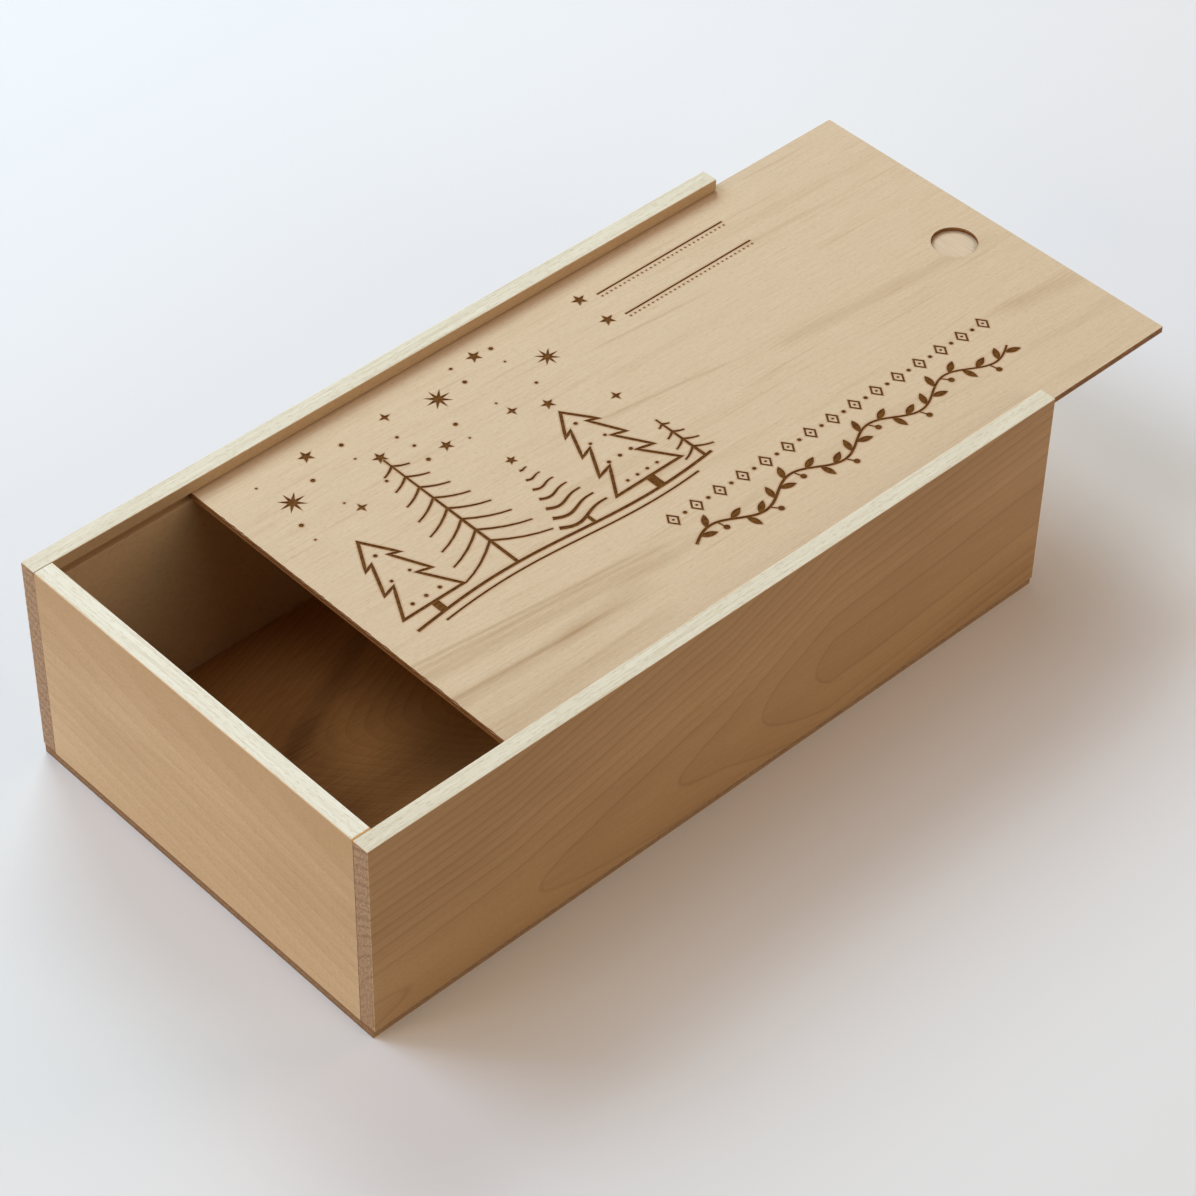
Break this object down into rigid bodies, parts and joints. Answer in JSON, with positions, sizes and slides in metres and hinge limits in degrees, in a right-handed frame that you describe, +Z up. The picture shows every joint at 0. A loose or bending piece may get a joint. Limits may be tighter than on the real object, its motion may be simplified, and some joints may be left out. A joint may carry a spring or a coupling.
{
  "type": "sliding-lid wooden box",
  "caption": "Shallow rectangular wooden gift box with a plywood lid that slides out of grooves in the long sides, opened by a round thumb notch.",
  "frame": {"origin": "centre of the underside, on the surface that the box stands on", "axes": "+X along the box, the way the lid slides out; +Y from the front side to the rear side; +Z up"},
  "size_m": [0.4322, 0.2, 0.102],
  "materials": {
    "board_wood": "planed and sanded, uncoated",
    "lid_veneer": "sanded veneer, uncoated, with burnt-in decoration on the face",
    "lid_core": "sawn plywood edge",
    "bottom_veneer": "sanded veneer, uncoated",
    "bottom_core": "sawn plywood edge",
    "pin_steel": "bright drawn wire"
  },
  "bodies": {
    "box": {"front_side_panel": "board_wood", "rear_side_panel": "board_wood", "closed_end_panel": "board_wood", "open_end_panel": "board_wood", "bottom_outer_veneer": "bottom_veneer", "bottom_core": "bottom_core", "bottom_inner_veneer": "bottom_veneer", "bottom_pins": "pin_steel"},
    "lid": {"lid_back_veneer": "lid_veneer", "lid_core": "lid_core", "lid_face_veneer": "lid_veneer"}
  },
  "joints": [
    {"name": "lid_slide", "type": "slide", "parent": "box", "child": "lid", "axis": [1, 0, 0], "range_m": [-0.0722, 0.285]}
  ]
}
